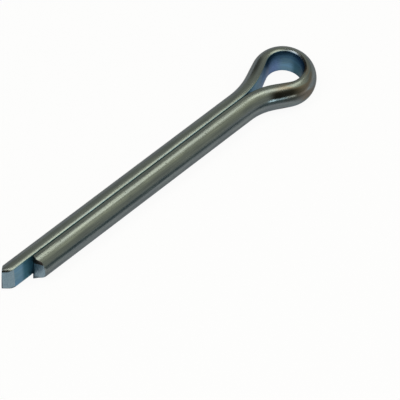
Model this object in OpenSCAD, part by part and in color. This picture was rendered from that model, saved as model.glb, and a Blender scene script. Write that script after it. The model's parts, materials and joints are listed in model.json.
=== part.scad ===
// Split pin: one length of half-round wire, bent flat side inwards round an eye
// so that its two legs close into a round shank. Sizes are in millimetres.
// It lies in its own plane: X runs along the shank to the tips, Z is up, and the
// origin is on the shank's axis where the legs leave the eye's neck.

/* [Wire and shank] */
// Diameter of the round shank that the two legs make together
shank_d = 5.7; // [4.7:0.1:6.9]
// Gap between the flat sides of the legs
leg_gap = 0.18; // [0.08:0.01:0.36]
// Radius of the wire's two rolled edges, between its flat and its round side
edge_r = 0.45; // [0.2:0.01:0.7]

/* [Legs] */
// Straight length of the short leg, from the neck to its sheared end
short_leg_l = 47.2; // [25:0.1:120]
// How far the long leg's point stands past the short leg's end
long_leg_extra = 5.7; // [2.5:0.1:12]

/* [Eye] */
// Inside radius of the eye's round end
eye_r = 3.1; // [2.5:0.1:5]
// Bend radius of the neck's two sides, on the wire's flat side
neck_r = 18; // [8:0.5:25]

/* [Ends] */
// Angle that the short leg's end face leans back on the round side
shear_angle = 6; // [0:1:20]
// Angle of both chisel faces at the long leg's point, from the shank's axis
point_angle = 44; // [30:1:60]
// Distance of the point's edge from the wire's flat side
point_w = 1.4; // [0.8:0.1:1.9]

/* [Hidden] */
$fn = 96;
wire_r = shank_d / 2;
flat_y = leg_gap / 2;       // the flats lie this far from the shank's axis
edge_set = 0.005;           // the rolled edges lie this far inside the round side
edge_y = flat_y + edge_r;   // place of a rolled edge's centre, out from the axis
edge_z = sqrt(pow(wire_r - edge_r - edge_set, 2) - pow(edge_y, 2)); // and up
trim_l = 4 * shank_d;       // size of the blocks that trim the ends
eye_x = -sqrt(pow(neck_r + eye_r, 2) - pow(neck_r + flat_y, 2)); // eye's centre
neck_angle = asin(-eye_x / (neck_r + eye_r)); // turn of each side of the neck
seam = 0.01;                // the neck is this much fuller than its neighbours,
lap = 0.05;                 // which reach this far into it, so that all join

// The wire's section, grown all round by grow: x is the distance out from the
// flat side, y is height. Rays through the rolled edges' centres end the arcs.
module wire_section(grow = 0) {
    translate([-flat_y, 0]) {
        intersection() {
            circle(r = wire_r + grow);
            polygon([[flat_y - grow, -edge_z], [edge_y, -edge_z], 2 * [edge_y, -edge_z],
                [2 * wire_r, -2 * edge_z], [2 * wire_r, 2 * edge_z], 2 * [edge_y, edge_z],
                [edge_y, edge_z], [flat_y - grow, edge_z]]);
        }
        for (side = [-1, 1])
            translate([edge_y, side * edge_z]) circle(r = edge_r + grow);
    }
}

// One leg along X, flat side towards the axis and bulging to +Y
module leg(length) {
    translate([-lap, flat_y, 0]) rotate([90, 0, 90])
        linear_extrude(height = length + lap) wire_section();
}

// One side of the neck, curving away from the shank to meet the eye
module neck_side() {
    translate([0, flat_y + neck_r, 0])
        rotate_extrude(start = 270 - neck_angle, angle = neck_angle)
            translate([neck_r, 0]) mirror([1, 0]) wire_section(seam);
}

// The eye's round end, from one side of the neck to the other
module eye_bow() {
    lap_angle = lap / eye_r * 180 / PI;
    translate([eye_x, 0, 0])
        rotate_extrude(start = 90 - neck_angle - lap_angle,
            angle = 180 + 2 * (neck_angle + lap_angle))
            translate([eye_r, 0]) wire_section();
}

// Takes away what lies past an upright plane through [x, y]: the plane faces
// +X and is turned about the vertical by angle
module trim(x, y, angle) {
    translate([x, y, 0]) rotate([0, 0, angle])
        translate([0, -trim_l / 2, -trim_l / 2]) cube(trim_l);
}

// The short leg, sheared nearly square
module short_leg() {
    difference() {
        leg(short_leg_l + lap);
        trim(short_leg_l, flat_y, shear_angle);
    }
}

// The long leg, ending in a blunt chisel point
module long_leg() {
    tip_x = short_leg_l + long_leg_extra;
    difference() {
        leg(tip_x + lap);
        trim(tip_x, flat_y + point_w, 90 - point_angle);
        trim(tip_x, flat_y + point_w, point_angle - 90);
    }
}

module split_pin() {
    color([0.55, 0.57, 0.56]) {
        eye_bow();
        neck_side();
        mirror([0, 1, 0]) neck_side();
        short_leg();
        mirror([0, 1, 0]) long_leg();
    }
}

split_pin();
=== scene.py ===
import json
from math import asin, cos, pi, radians, sin

import bmesh
import bpy
from mathutils import Matrix, Vector


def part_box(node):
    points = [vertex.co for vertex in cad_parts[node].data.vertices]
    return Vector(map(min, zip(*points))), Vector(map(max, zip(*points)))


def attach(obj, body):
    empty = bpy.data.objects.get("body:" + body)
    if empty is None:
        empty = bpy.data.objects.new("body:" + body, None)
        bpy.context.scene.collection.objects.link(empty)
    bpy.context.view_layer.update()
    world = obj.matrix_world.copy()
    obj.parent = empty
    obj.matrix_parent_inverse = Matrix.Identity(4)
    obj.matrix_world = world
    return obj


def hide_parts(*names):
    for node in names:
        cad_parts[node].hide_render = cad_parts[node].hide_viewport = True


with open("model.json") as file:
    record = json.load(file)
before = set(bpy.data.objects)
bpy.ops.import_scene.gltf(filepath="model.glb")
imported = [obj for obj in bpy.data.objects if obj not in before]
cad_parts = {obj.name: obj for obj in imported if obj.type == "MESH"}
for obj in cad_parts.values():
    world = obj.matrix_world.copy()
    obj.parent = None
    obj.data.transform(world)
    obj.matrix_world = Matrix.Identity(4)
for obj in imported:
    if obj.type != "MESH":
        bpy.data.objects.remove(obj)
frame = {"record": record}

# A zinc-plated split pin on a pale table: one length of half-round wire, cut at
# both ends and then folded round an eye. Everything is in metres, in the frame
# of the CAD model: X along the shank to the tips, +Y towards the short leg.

MM = 0.001
X, Y, Z = Vector((1, 0, 0)), Vector((0, 1, 0)), Vector((0, 0, 1))
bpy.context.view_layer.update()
pin_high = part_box("split_pin")[1]

# Sizes of the pin
SHANK_R = frame["record"]["mounts"][0]["dims"]["r_mm"] * MM
LEG_GAP = 0.04 * MM           # between the flat sides of the two legs
FLAT_Y = LEG_GAP / 2
TIP_X = pin_high.x            # the long leg's point
LEG_STEP = 5.7 * MM           # how far the long leg's point stands past the short leg
SHORT_X = TIP_X - LEG_STEP    # the short leg's end


# ---------------------------------------------------------------- camera

def place_camera():
    """A long lens from above, on the short leg's side, looking past the tips."""
    elevation, azimuth, roll = radians(54.02), radians(44.42), radians(1.92)
    distance, target = 400.2 * MM, Vector((17.845, 9.328, 0.0)) * MM
    back = Vector((cos(elevation) * cos(azimuth), cos(elevation) * sin(azimuth), sin(elevation)))
    level = Vector((-sin(azimuth), cos(azimuth), 0))
    raised = back.cross(level)
    right = cos(roll) * level + sin(roll) * raised
    up = cos(roll) * raised - sin(roll) * level
    bpy.ops.object.camera_add()
    camera = bpy.context.object
    camera.name = "camera"
    turn = Matrix((right, up, back)).transposed().to_4x4()
    camera.matrix_world = Matrix.Translation(target + distance * back) @ turn
    camera.data.lens = 215.65
    camera.data.clip_start = 10 * MM
    bpy.context.scene.camera = camera


place_camera()


# ---------------------------------------------------------------- tools

# turn of one edge of a drawn arc, in the fold and in the wire's section
FOLD_STEP, SECTION_STEP = radians(2), radians(5)


def pick(piece, kind, wanted):
    """In edit mode, selects only the verts, edges or faces for which wanted() holds."""
    bpy.ops.mesh.select_mode(type={"verts": "VERT", "edges": "EDGE", "faces": "FACE"}[kind])
    bpy.ops.mesh.select_all(action="DESELECT")
    mesh = bmesh.from_edit_mesh(piece.data)
    for part in getattr(mesh, kind):
        if wanted(part):
            part.select_set(True)
    mesh.select_flush_mode()
    bmesh.update_edit_mesh(piece.data)


def draw_chain(name, start, heading, stretches, across, upward, arc_step):
    """A chain of edges in the plane of across and upward, from start. A stretch is
    ("line", length) or ("arc", radius, turn), where a left turn is positive, and an
    arc has an edge for each arc_step. Stays in edit mode. Returns the object and the
    chain's length."""
    bpy.ops.object.select_all(action="DESELECT")
    bpy.ops.mesh.primitive_plane_add(size=MM)
    chain = bpy.context.object
    chain.name = name
    bpy.ops.object.mode_set(mode="EDIT")
    bpy.ops.mesh.merge(type="CENTER")
    u, v = start
    bpy.ops.transform.translate(value=across * u + upward * v)
    length = 0.0
    for stretch in stretches:
        if stretch[0] == "line":
            u += stretch[1] * cos(heading)
            v += stretch[1] * sin(heading)
            step = stretch[1] * (across * cos(heading) + upward * sin(heading))
            bpy.ops.mesh.extrude_vertices_move(TRANSFORM_OT_translate={"value": step})
            length += stretch[1]
        else:
            radius, turn = stretch[1:]
            side = radius if turn > 0 else -radius
            middle_u, middle_v = u - side * sin(heading), v + side * cos(heading)
            bpy.ops.mesh.spin(steps=max(2, round(abs(turn) / arc_step)), angle=-turn,
                              center=across * middle_u + upward * middle_v,
                              axis=across.cross(upward))
            heading += turn
            u, v = middle_u + side * sin(heading), middle_v - side * cos(heading)
            length += radius * abs(turn)
    return chain, length


# ---------------------------------------------------------------- the fold

# The wire's flat side in plan. The eye's crown is a flatter arc than its two
# sides, and the neck bends back to the shank. Side 1 is the short leg's, -1 the long's.
CROWN_X = -14.64 * MM
CROWN_R, CROWN_HALF = 3.55 * MM, radians(35.1)
SIDE_R = {1: 3.34 * MM, -1: 3.14 * MM}
EYE_LEAN = 0.19 * MM          # the eye leans this far towards the short leg
NECK = {1: (11.57 * MM, radians(32.0)), -1: (16.14 * MM, radians(27.3))}


def half_fold(side):
    """Stretches of the fold from the crown to a leg, side 1 for the short leg and
    -1 for the long one, and how far along X they go."""
    side_r = SIDE_R[side]
    neck_r, neck_turn = NECK[side]
    side_y = side * EYE_LEAN + (CROWN_R - side_r) * sin(CROWN_HALF) + side_r * cos(neck_turn)
    run = (side_y - FLAT_Y - neck_r * (1 - cos(neck_turn))) / sin(neck_turn)
    reach = CROWN_R * (1 - cos(CROWN_HALF)) + side_r * (cos(CROWN_HALF) + sin(neck_turn)) \
        + run * cos(neck_turn) + neck_r * sin(neck_turn)
    stretches = [("arc", CROWN_R, CROWN_HALF), ("arc", side_r, pi / 2 + neck_turn - CROWN_HALF),
                 ("line", run), ("arc", neck_r, -neck_turn)]
    return stretches, reach


near_half, near_reach = half_fold(1)
far_half, far_reach = half_fold(-1)
near_leg = SHORT_X - (CROWN_X + near_reach)
far_leg = TIP_X - (CROWN_X + far_reach)
fold = [("line", near_leg)] + near_half[::-1] + far_half + [("line", far_leg)]
path, wire_l = draw_chain("fold", (SHORT_X, FLAT_Y), pi, fold, X, Y, FOLD_STEP)
half_l = [sum(s[1] if s[0] == "line" else s[1] * abs(s[2]) for s in half)
          for half in (near_half, far_half)]
crown_s = near_leg + half_l[0]      # distance along the wire to the crown
bpy.ops.object.mode_set(mode="OBJECT")
bpy.ops.object.convert(target="CURVE")
path = bpy.context.object
# the wire bends from the short leg's end, so the path has to start there
if path.data.splines[0].points[0].co.y < 0:
    bpy.ops.object.mode_set(mode="EDIT")
    bpy.ops.curve.select_all(action="SELECT")
    bpy.ops.curve.switch_direction()
    bpy.ops.object.mode_set(mode="OBJECT")
path.data.dimensions = "2D"


# ---------------------------------------------------------------- the wire

# The straight wire lies along X with its flat side on Y = 0 and its round side
# towards -Y. Its section: the flat, a small edge, a flank that leans in to the
# edge, a blunt ridge, the round side, and the same back again.
EDGE_R, FLANK_R, RIDGE_R = 0.10 * MM, 2.1 * MM, 0.45 * MM
FLANK_IN, FLANK_OUT = radians(27), radians(13)      # lean of the flank at the edge and ridge
WASTE = 2 * MM                                      # extra wire, sheared off at each end


def draw_section():
    """The wire's section at the waste end of the short leg, as one closed chain.
    Returns it and half the height of its flat side."""
    out = FLAT_Y + EDGE_R * (1 - sin(FLANK_IN)) + FLANK_R * (sin(FLANK_IN) - sin(FLANK_OUT)) \
        + RIDGE_R * sin(FLANK_OUT)
    ridge_turn = asin(out / (SHANK_R - RIDGE_R))
    half_flat = (SHANK_R - RIDGE_R) * cos(ridge_turn) + RIDGE_R * cos(FLANK_OUT) \
        - FLANK_R * (cos(FLANK_OUT) - cos(FLANK_IN)) - EDGE_R * cos(FLANK_IN)
    shoulder = [("arc", EDGE_R, pi / 2 - FLANK_IN), ("arc", FLANK_R, FLANK_IN - FLANK_OUT),
                ("arc", RIDGE_R, FLANK_OUT + ridge_turn)]
    stretches = [("line", half_flat / 5)] * 10 + shoulder \
        + [("arc", SHANK_R, pi - 2 * ridge_turn)] + shoulder[::-1]
    section = draw_chain("folded_wire", (0, -half_flat), pi / 2, stretches, Y, Z, SECTION_STEP)[0]
    bpy.ops.mesh.select_all(action="SELECT")
    bpy.ops.mesh.remove_doubles(threshold=0.01 * MM)
    bpy.ops.transform.translate(value=(-WASTE, 0, 0))
    return section, half_flat


wire, half_flat = draw_section()
CUT_ROOM = 4 * MM             # this much of each leg's end is cut to shape, and has no rings
# rings: far apart on the straight legs, close together round the eye
for run, steps in ((WASTE + CUT_ROOM, 1), (near_leg - CUT_ROOM, 40), (sum(half_l), 170),
                   (far_leg - CUT_ROOM, 40), (CUT_ROOM + WASTE, 1)):
    for _ in range(steps):
        bpy.ops.mesh.extrude_region_move(TRANSFORM_OT_translate={"value": (run / steps, 0, 0)})


def swell(at, factors, reach):
    """Scales the wire by factors at a distance along it, easing off over reach."""
    pick(wire, "verts", lambda v: abs(v.co.x - at) < 0.1 * MM)
    bpy.ops.transform.resize(value=factors, center_override=(at, 0, 0), use_proportional_edit=True,
                             proportional_edit_falloff="SMOOTH", proportional_size=reach)


# The bend draws the wire thinner round the crown, and squeezes its flat side taller
CROWN_THICK, CROWN_TALL = 0.767, 1.035    # shares of the straight wire's
swell(crown_s - 0.5 * MM, (1, CROWN_THICK, 1), 10.9 * MM)
swell(crown_s, (1, 1, CROWN_TALL), 14.3 * MM)
# and bulges the middle of its flat side towards the inside of the eye
FLAT_BULGE = 0.30 * MM
pick(wire, "verts", lambda v: abs(v.co.x - crown_s) < 7 * MM and v.co.y > -0.001 * MM
     and abs(v.co.z) < 0.1 * MM)
bpy.ops.transform.translate(value=(0, FLAT_BULGE, 0), use_proportional_edit=True,
                            proportional_edit_falloff="INVERSE_SQUARE", proportional_size=2.6 * MM,
                            use_proportional_connected=True)


def cut(at, facing):
    """Shears off what lies past a plane, and caps the cut."""
    bpy.ops.mesh.select_all(action="SELECT")
    bpy.ops.mesh.bisect(plane_co=at, plane_no=facing, clear_outer=True, use_fill=True,
                        threshold=0.0001 * MM)


def shape_end(end_x, facing, tilt, outline):
    """Cuts a wire end along an outline: its points are (distance back from end_x,
    depth below the flat side). facing is -1 for the short leg, 1 for the long, and
    tilt is how far each cut leans back towards its top."""
    cut((end_x + facing * WASTE / 2, 0, 0), (facing, 0, 0))
    for (back_a, deep_a), (back_b, deep_b) in zip(outline, outline[1:]):
        along, down = back_b - back_a, deep_b - deep_a
        cut((end_x - facing * back_a * MM, -deep_a * MM, 0), (facing * down, -along, tilt * down))


def arc_points(back, deep, radius, start, end, steps):
    """Points of an arc in an end's outline, in degrees from the wire's way out."""
    return [(back - radius * cos(radians(start + (end - start) * i / steps)),
             deep + radius * sin(radians(start + (end - start) * i / steps)))
            for i in range(steps + 1)]


def soften_border(is_near, radius):
    """Rounds the sharp edges round a cut end."""
    pick(wire, "edges", lambda e: is_near(e) and len(e.link_faces) == 2
         and e.calc_face_angle() > radians(25))
    bpy.ops.mesh.bevel(offset=radius, segments=3, profile=0.5, affect="EDGES", clamp_overlap=True)


# Short leg: sheared nearly square, and rolled over on its round side, most in the
# middle. Each roll-over is a direction in degrees from the middle and a radius in mm.
SHEAR_X, SHEAR_TILT = 0.475 * MM, 0.048
ROLL_OVERS = ((45, 0.3), (30, 0.45), (15, 0.7), (0, 0.9), (-15, 0.8), (-30, 0.6), (-45, 0.3))
shape_end(SHEAR_X, -1, SHEAR_TILT, arc_points(0.05, 0.05, 0.05, -90, 0, 3) + [(0.0, 3.0)])
for around, roll_r in ROLL_OVERS:
    out, up = cos(radians(around)), sin(radians(around))
    roll_r *= MM
    for lean in (18, 36, 54, 72):
        reach = SHANK_R - roll_r + roll_r * sin(radians(lean))
        cut((SHEAR_X + roll_r * (1 - cos(radians(lean))), FLAT_Y - reach * out, reach * up),
            (-cos(radians(lean)), -sin(radians(lean)) * out, sin(radians(lean)) * up))
soften_border(lambda e: all(v.co.x < 1.5 * MM for v in e.verts), 0.05 * MM)
# the shear left a burr at the bottom corner: the cut face is divided, then drawn out there
GRID, BURR, LIP = 0.22, 0.62 * MM, 0.55 * MM      # GRID is in mm
for direction, steps in ((Z, range(-12, 13)), (Y, range(-12, 1))):
    for step in steps:
        pick(wire, "faces", lambda f: f.normal.x < -0.9 and f.calc_center_median().x < 1.5 * MM)
        bpy.ops.mesh.bisect(plane_co=direction * step * GRID * MM, plane_no=direction)
pick(wire, "verts", lambda v: v.co.x < 1 * MM and abs(v.co.y + 0.55 * MM) < 0.15 * MM
     and v.co.z < -2.6 * MM)
bpy.ops.transform.translate(value=(-BURR, 0, 0), use_proportional_edit=True,
                            proportional_edit_falloff="SHARP", proportional_size=1.0 * MM)
# and a low lip along the top
pick(wire, "verts", lambda v: v.co.x < 1 * MM and abs(v.co.y + 0.75 * MM) < 0.2 * MM
     and v.co.z > 2.5 * MM)
bpy.ops.transform.translate(value=(-LIP, 0, 0), use_proportional_edit=True,
                            proportional_edit_falloff="SMOOTH", proportional_size=1.2 * MM)
# Long leg: a blunt chisel point, its inner face rolled over into the flat
POINT_DEEP, POINT_ANGLE = 1.23, 44        # mm below the flat side, degrees
NOSE_R, ROLL_R = 0.25, 2.2                # mm
POINT_X = wire_l - 0.27 * MM              # the point ends this far short of the drawn wire
face_turn = 90 - POINT_ANGLE
lift = NOSE_R * (1 - cos(radians(face_turn))) - POINT_DEEP * sin(radians(face_turn))
roll_back = (ROLL_R * (1 - sin(radians(face_turn))) - lift) / cos(radians(face_turn))
shape_end(POINT_X, 1, 0.0, arc_points(roll_back, ROLL_R, ROLL_R, -90, -face_turn, 8)
          + arc_points(NOSE_R, POINT_DEEP, NOSE_R, -face_turn, face_turn, 6)
          + [(NOSE_R + 2, POINT_DEEP + 2 * sin(radians(POINT_ANGLE)) / cos(radians(POINT_ANGLE)))])


def edge_profile(droop, lean_back):
    """Tangents of the wire's edge, from its flat side up over the flank: each is
    (depth, height, lean) in mm and degrees. The edge lies droop lower than on the
    straight wire, and its flank leans back by lean_back less."""
    deep, height, lean = 0.0, half_flat / MM - droop, 0.0
    stages = ((0.10, 63 - lean_back, 3), (2.1, 77 - lean_back, 4), (0.6, 85 - lean_back / 2, 1))
    for radius, stop, steps in stages:
        first = lean
        for step in range(1, steps + 1):
            now = first + (stop - first) * step / steps
            deep += radius * (cos(radians(lean)) - cos(radians(now)))
            height += radius * (sin(radians(now)) - sin(radians(lean)))
            lean = now
            yield deep, height, lean


# its outer face leans in a little towards the top
outwards = Vector((cos(radians(face_turn)), -sin(radians(face_turn)), 0))
nose = Vector((POINT_X - NOSE_R * MM, -POINT_DEEP * MM, -2.5 * MM))
cut(nose + outwards * NOSE_R * MM, outwards + Z * 0.053)
# the wire's edge bends along with the roll, and droops towards the point
roll_middle = Vector((POINT_X - roll_back * MM, -ROLL_R * MM, 0))
ROLL_CUTS = 8
DROOPS = ((1, 0.22), (-1, 0.18))           # of the upper and lower edge at the point, mm
FLANK_LEAN = 18                           # how far the flanks turn back there, degrees
for step in range(1, ROLL_CUTS + 1):
    share = step / ROLL_CUTS
    turn = radians(90 - share * POINT_ANGLE)
    facing = Vector((cos(turn), sin(turn), 0))
    for up, droop in DROOPS:
        for deep, height, lean in edge_profile(droop * share ** 2, FLANK_LEAN * share ** 2):
            cut(roll_middle + facing * (ROLL_R - deep) * MM + Z * up * height * MM,
                facing * cos(radians(lean)) + Z * up * sin(radians(lean)))
soften_border(lambda e: all(v.co.x > wire_l - 3 * MM for v in e.verts), 0.10 * MM)

# corners that the cuts left on top of each other are welded, so that the mesh is closed
bpy.ops.mesh.select_all(action="SELECT")
bpy.ops.mesh.remove_doubles(threshold=0.001 * MM)
bpy.ops.mesh.normals_make_consistent(inside=False)
bpy.ops.object.mode_set(mode="OBJECT")


def is_cut_end(face):
    """Whether a face of the straight wire is on a sheared end. The long leg's end
    slopes, and the droop of its edges belongs to the wire's sides."""
    if face.center.x < wire_l / 2:
        return abs(face.normal.x) > 0.65
    return face.center.x > wire_l - 5 * MM and abs(face.normal.x) > 0.08 and abs(face.normal.z) < 0.3


for face in wire.data.polygons:
    if is_cut_end(face):
        face.material_index = 1

# The wire keeps its straight shape as an attribute, so that what was drawn along
# it follows the bend
straight = wire.data.attributes.new("straight", "FLOAT_VECTOR", "POINT")
for vertex, place in zip(wire.data.vertices, straight.data):
    place.vector = vertex.co

fold_modifier = wire.modifiers.new("fold", "CURVE")
fold_modifier.object = path
bpy.ops.object.modifier_apply(modifier="fold")
bpy.data.objects.remove(path)
bpy.ops.object.shade_smooth_by_angle(angle=radians(35))
wire.modifiers.new("flat faces stay flat", "WEIGHTED_NORMAL").keep_sharp = True
bpy.ops.object.modifier_apply(modifier="flat faces stay flat")


# ---------------------------------------------------------------- materials

def linear(code):
    """An sRGB hex colour as linear RGBA."""
    parts = [int(code[i:i + 2], 16) / 255 for i in (1, 3, 5)]
    return [c / 12.92 if c <= 0.04045 else ((c + 0.055) / 1.055) ** 2.4 for c in parts] + [1]


def new_material(name):
    material = bpy.data.materials.new(name)
    material.use_nodes = True
    material.node_tree.nodes.clear()
    return material.node_tree


def add(tree, kind, settings=None, **inputs):
    """Adds a node with its settings, and its inputs: each a value or an output to
    link. An input's name has _ for a space, and one given by number starts with i."""
    node = tree.nodes.new("ShaderNode" + kind)
    for key, value in (settings or {}).items():
        setattr(node, key, value)
    for key, value in inputs.items():
        socket = node.inputs[int(key[1:])] if key[1:].isdigit() else node.inputs[key.replace("_", " ")]
        if isinstance(value, bpy.types.NodeSocket):
            tree.links.new(value, socket)
        else:
            socket.default_value = value
    return node


SMOOTH = {"interpolation_type": "SMOOTHSTEP"}
TIMES, PLUS, MINUS = {"operation": "MULTIPLY"}, {"operation": "ADD"}, {"operation": "SUBTRACT"}
SIZE, LARGER = {"operation": "ABSOLUTE"}, {"operation": "MAXIMUM"}


def lay_tint(tree, under, tint, *limits):
    """Lays a tint over a colour, as strong as the product of its limits. A limit is a
    share, or (value, low, high), over which the share goes smoothly from 0 to 1, or
    to and from the two shares that follow."""
    share = None
    for limit in limits:
        if isinstance(limit, tuple):
            value, low, high, *ends = limit
            start, end = ends or (0.0, 1.0)
            limit = add(tree, "MapRange", SMOOTH, Value=value, From_Min=low, From_Max=high,
                        To_Min=start, To_Max=end).outputs[0]
        share = limit if share is None else add(tree, "Math", TIMES, i0=share, i1=limit).outputs[0]
    return add(tree, "Mix", {"data_type": "RGBA"}, i0=share, i6=under, i7=linear(tint)).outputs[2]


def drawn_out(tree, length, width, **noise):
    """An uneven pattern that the drawing of the wire has stretched: its patches are
    length mm long and width mm across."""
    place = add(tree, "Attribute", {"attribute_name": "straight"}).outputs["Vector"]
    stretched = add(tree, "Mapping", Vector=place, Scale=(1000 / length, 1000 / width, 1000 / width))
    return add(tree, "TexNoise", Vector=stretched.outputs[0], Scale=1, **noise).outputs[0]


# Bright zinc plate, passivated blue, over cold drawn wire: a soft mirror with fine
# lines along the wire, olive grey on the round side, clearer blue on the rolled flat
zinc = new_material("blue passivated zinc plate")
place = add(zinc, "Attribute", {"attribute_name": "straight"}).outputs["Vector"]
along, depth, height = add(zinc, "SeparateXYZ", Vector=place).outputs
flat_side = add(zinc, "MapRange", SMOOTH, Value=depth, From_Min=-0.14 * MM, From_Max=-0.02 * MM).outputs[0]
# the eye, where bending has strained the plate, and where shade is painted on the flat side
from_crown = add(zinc, "Math", MINUS, i0=along, i1=crown_s)
from_crown = add(zinc, "Math", SIZE, i0=from_crown.outputs[0])
eye = add(zinc, "MapRange", SMOOTH, Value=from_crown.outputs[0], From_Min=12 * MM, From_Max=7 * MM).outputs[0]
# cloudy patches of thicker and thinner passivation, about 5 mm by 0.9 mm
clouds = drawn_out(zinc, 5, 0.9, Detail=3, Roughness=0.6)
# drawn lines, really about 0.05 mm apart, made four times coarser so that they show
lines = drawn_out(zinc, 14, 0.22, Detail=2, Roughness=0.7)
# brown stains in the eye, about 3 mm by 1 mm
stains = drawn_out(zinc, 3.0, 1.0, Detail=2, Roughness=0.5)
# tiny pits and specks of the plating
specks = drawn_out(zinc, 0.30, 0.22, Detail=1)

# the round side is olive grey, with a painted reflection of the pale table that makes it bluer and lighter
# low down, and stained brown at the eye
round_colour = lay_tint(zinc, linear("#6A7175"), "#757C7D", (clouds, 0.35, 0.65))
# painted reflection of the pale table: bluer and lighter low down
round_colour = lay_tint(zinc, round_colour, "#74848E", (height, 0.0, -1.8 * MM))
round_colour = lay_tint(zinc, round_colour, "#6E6154", eye, (stains, 0.45, 0.65, 0.0, 0.7),
                        (along, crown_s - 1.5 * MM, crown_s - 3.5 * MM, 0.1, 1.0))
# with a painted dark reflection on the eye's near side, high up where the bend begins
from_dark_reflection = add(zinc, "Math", MINUS, i0=along, i1=crown_s - 8.6 * MM)
from_dark_reflection = add(zinc, "Math", SIZE, i0=from_dark_reflection.outputs[0])
# painted dark reflection: a dark patch high on the eye's near side
round_colour = lay_tint(zinc, round_colour, "#2E2A20", (height, 1.2 * MM, 1.7 * MM),
                        (height, 2.6 * MM, 2.2 * MM),
                        (from_dark_reflection.outputs[0], 3.4 * MM, 1.4 * MM, 0.0, 0.85))
# the flat side is blue, lilac in the far half of the eye, and painted shade makes it a darker teal in the
# near half
flat_colour = lay_tint(zinc, linear("#6489A3"), "#6C8B99", (clouds, 0.35, 0.65))
flat_colour = lay_tint(zinc, flat_colour, "#667FA8", (along, crown_s + 2.5 * MM, crown_s + 4.5 * MM),
                       (along, crown_s + 12 * MM, crown_s + 7 * MM))
# painted shade: a darker teal on the flat side in the near half of the eye
flat_colour = lay_tint(zinc, flat_colour, "#3B5D6C",
                       (along, crown_s + 0.2 * MM, crown_s + 1.6 * MM, 1.0, 0.0))
# painted shade, darker towards the eye's upper rim
flat_colour = lay_tint(zinc, flat_colour, "#38586F", eye, (height, -1.5 * MM, 2.6 * MM))
# and painted shade on the long leg's flat just past the short leg's end
flat_colour = lay_tint(zinc, flat_colour, "#3D6576", (along, wire_l - 20 * MM, wire_l - 15 * MM),
                       (along, wire_l - 3.5 * MM, wire_l - 4.4 * MM))
colour = add(zinc, "Mix", {"data_type": "RGBA"}, i0=flat_side, i6=round_colour, i7=flat_colour).outputs[2]

# the lines and specks darken the plate, and specks and flat side are duller
line_shade = add(zinc, "MapRange", Value=lines, From_Min=0.3, From_Max=0.7, To_Min=0.81, To_Max=1.16)
speck_shade = add(zinc, "MapRange", SMOOTH, Value=specks, From_Min=0.66, From_Max=0.78,
                  To_Min=0.0, To_Max=-0.25)
shade = add(zinc, "Math", PLUS, i0=line_shade.outputs[0], i1=speck_shade.outputs[0]).outputs[0]
colour = add(zinc, "Mix", {"data_type": "RGBA", "blend_type": "MULTIPLY"}, i0=1.0, i6=colour, i7=shade)
cloud_dullness = add(zinc, "MapRange", Value=clouds, From_Min=0.3, From_Max=0.7, To_Min=0.20, To_Max=0.28)
speck_dullness = add(zinc, "MapRange", SMOOTH, Value=specks, From_Min=0.62, From_Max=0.75,
                     To_Min=0.0, To_Max=0.2)
dullness = add(zinc, "Math", PLUS, i0=cloud_dullness.outputs[0], i1=speck_dullness.outputs[0])
flat_dullness = add(zinc, "MapRange", SMOOTH, Value=flat_side, To_Min=0.0, To_Max=0.12)
dullness = add(zinc, "Math", PLUS, i0=dullness.outputs[0], i1=flat_dullness.outputs[0])
bump = add(zinc, "Bump", Strength=0.5, Distance=0.006 * MM, Height=lines)
bump = add(zinc, "Bump", Strength=0.3, Distance=0.005 * MM, Height=specks, Normal=bump.outputs[0])
shader = add(zinc, "BsdfPrincipled", Base_Color=colour.outputs[2], Metallic=1.0,
             Roughness=dullness.outputs[0], Specular_Tint=(0.5, 0.5, 0.5, 1), Normal=bump.outputs[0])
add(zinc, "OutputMaterial", Surface=shader.outputs[0])
wire.data.materials.append(bpy.data.materials["blue passivated zinc plate"])

# The sheared ends are zinc plated too: a grainy break, duller and bluer, below a crescent that the blade
# burnished, painted dark brown as a painted reflection of the dark metal beside it
BLADE_IN = Vector((0, 0.53, 0.85))        # across the wire, towards where the blade came in
GRAIN = 0.25                              # mm, of the torn metal
sheared = new_material("zinc plated shear cut")
straight_place = add(sheared, "Attribute", {"attribute_name": "straight"}).outputs["Vector"]
along, depth, height = add(sheared, "SeparateXYZ", Vector=straight_place).outputs
grain = add(sheared, "Mapping", Vector=straight_place, Scale=(1000 / GRAIN,) * 3).outputs[0]
grain = add(sheared, "TexNoise", Vector=grain, Scale=1, Detail=4, Roughness=0.65).outputs[0]
cut_colour = lay_tint(sheared, linear("#6F8593"), "#8297A1", (grain, 0.3, 0.7))
crescent_reflection_depth = add(sheared, "VectorMath", {"operation": "DOT_PRODUCT"}, i0=straight_place, i1=BLADE_IN)
on_short_leg = add(sheared, "Math", {"operation": "LESS_THAN"}, i0=along, i1=0.1).outputs[0]
# painted dark reflection in the burnished crescent on the short leg's end
cut_colour = lay_tint(sheared, cut_colour, "#3C2E26",
                      (crescent_reflection_depth.outputs["Value"], 0.18 * MM, 0.28 * MM), on_short_leg)
# painted shade darkens the cut faces along the lower edge, and they are darker along the long leg's point too
at_point = add(sheared, "Math", {"operation": "COMPARE"}, i0=depth, i1=-(POINT_DEEP + 0.02) * MM,
               i2=0.20 * MM)
on_long_leg = add(sheared, "MapRange", SMOOTH, Value=along, From_Min=wire_l - 5 * MM,
                  From_Max=wire_l - 4 * MM, To_Min=0.0, To_Max=0.75)
point_edge = add(sheared, "Math", TIMES, i0=at_point.outputs[0], i1=on_long_leg.outputs[0])
low_edge_shade = add(sheared, "MapRange", SMOOTH, Value=height, From_Min=-2.05 * MM, From_Max=-2.35 * MM,
               To_Min=0.0, To_Max=0.6)
edges = add(sheared, "Math", LARGER, i0=point_edge.outputs[0], i1=low_edge_shade.outputs[0]).outputs[0]
cut_colour = lay_tint(sheared, cut_colour, "#3E4245", edges)
bump = add(sheared, "Bump", Strength=0.5, Distance=0.05 * MM, Height=grain)
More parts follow.
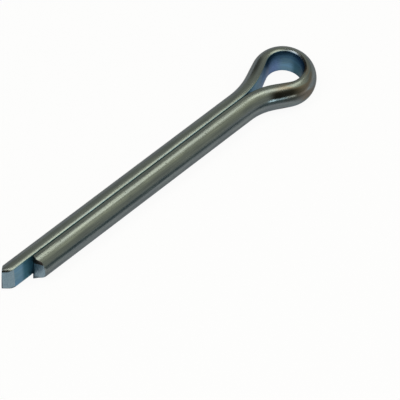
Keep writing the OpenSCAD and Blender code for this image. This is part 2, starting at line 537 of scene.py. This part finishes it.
shader = add(sheared, "BsdfPrincipled", Base_Color=cut_colour, Metallic=1.0, Roughness=0.42,
             Normal=bump.outputs[0])
add(sheared, "OutputMaterial", Surface=shader.outputs[0])
wire.data.materials.append(bpy.data.materials["zinc plated shear cut"])

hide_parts("split_pin")
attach(wire, "root")


# ---------------------------------------------------------------- table and light

# White uncoated paper: matt, and plain white to the eye and in the pin's mirror
WHITE_SEEN, WHITE_MIRRORED = 0.93, 0.7    # shares of plain white, the rest is lit paper
bpy.ops.object.select_all(action="DESELECT")
bpy.ops.mesh.primitive_plane_add(size=4, location=(0, 0, 0))
table = bpy.context.object
table.name = "table"
table.location.z = min(v.co.z for v in wire.data.vertices)
paper = new_material("white paper")
rays = add(paper, "LightPath").outputs
seen = add(paper, "Math", LARGER, i0=rays["Is Camera Ray"], i1=rays["Is Transmission Ray"])
seen = add(paper, "Math", TIMES, i0=seen.outputs[0], i1=WHITE_SEEN)
mirrored = add(paper, "Math", TIMES, i0=rays["Is Glossy Ray"], i1=WHITE_MIRRORED)
share = add(paper, "Math", LARGER, i0=seen.outputs[0], i1=mirrored.outputs[0])
lit = add(paper, "BsdfDiffuse", Color=linear("#F4F4F4"))
white = add(paper, "Emission", Color=(1, 1, 1, 1), Strength=1.0)
surface = add(paper, "MixShader", i0=share.outputs[0], i1=lit.outputs[0], i2=white.outputs[0])
# A painted dark reflection: only reflections see a dark strip on the table along the pin's near side,
# standing in for a neighbour that is not there
on_table = add(paper, "SeparateXYZ", Vector=add(paper, "TexCoord").outputs["Object"]).outputs
past_side = add(paper, "MapRange", SMOOTH, Value=on_table["Y"], From_Min=9 * MM, From_Max=12 * MM)
past_eye = add(paper, "MapRange", SMOOTH, Value=on_table["X"], From_Min=-20 * MM, From_Max=-5 * MM)
beside = add(paper, "Math", TIMES, i0=past_side.outputs[0], i1=past_eye.outputs[0])
painted_neighbour_reflection = add(paper, "Math", TIMES, i0=beside.outputs[0], i1=rays["Is Glossy Ray"])
dark = add(paper, "Emission", Color=linear("#6F8080"), Strength=1.0)
surface = add(paper, "MixShader", i0=painted_neighbour_reflection.outputs[0], i1=surface.outputs[0], i2=dark.outputs[0])
add(paper, "OutputMaterial", Surface=surface.outputs[0])
table.data.materials.append(bpy.data.materials["white paper"])


SHANK_MIDDLE = Vector((18 * MM, 0, 0))    # roughly, where the lamps are aimed


def softbox(name, toward, distance, size, radiance, colour="#FFFFFF"):
    """A soft light facing the pin: size is (along its own X, across), radiance 1
    looks as bright as white paper."""
    toward = Vector(toward).normalized()
    bpy.ops.object.light_add(type="AREA", location=toward * distance + SHANK_MIDDLE)
    lamp = bpy.context.object
    lamp.name = name
    side = (X - toward * toward.dot(X)).normalized()
    turn = Matrix((side, toward.cross(side), toward)).transposed().to_4x4()
    lamp.matrix_world = Matrix.Translation(lamp.location) @ turn
    lamp.data.shape = "RECTANGLE"
    lamp.data.size, lamp.data.size_y = size
    # a Lambertian panel of radiance L gives out pi * area * L watts
    lamp.data.energy = pi * size[0] * size[1] * radiance
    lamp.data.color = linear(colour)[:3]


softbox("strip light", (0.0, 0.325, 0.945), 0.20, (0.25, 0.062), 2.6, "#FFFAE4")
softbox("front light", (0.47, -0.15, 0.87), 1.2, (0.9, 0.4), 4.0)
# a low bright window beside the eye
softbox("window", (0.19, 0.98, 0.045), 0.8, (0.08, 0.045), 28.0, "#E4FAFF")

# The room: pale warm grey walls past the eye, dark behind the tips, and a warm glow
# high up. Each is the direction in which that part lies.
PAST_EYE, HIGH_UP = (-0.974, 0.225, 0), (-0.287, 0.497, 0.819)
world = bpy.data.worlds.new("studio")
bpy.context.scene.world = world
world.use_nodes = True
room = world.node_tree
room.nodes.clear()
toward = add(room, "TexCoord").outputs["Generated"]
past_eye = add(room, "VectorMath", {"operation": "DOT_PRODUCT"}, i0=toward, i1=PAST_EYE)
high_up = add(room, "VectorMath", {"operation": "DOT_PRODUCT"}, i0=toward, i1=HIGH_UP)
walls = lay_tint(room, linear("#3A3732"), "#CBCBB9", (past_eye.outputs["Value"], -0.04, 0.10))
walls = lay_tint(room, walls, "#FFFCD8", (high_up.outputs["Value"], 0.84, 0.99))
add(room, "OutputWorld", Surface=add(room, "Background", Color=walls, Strength=1.0).outputs[0])
bpy.context.scene.view_settings.view_transform = "Standard"
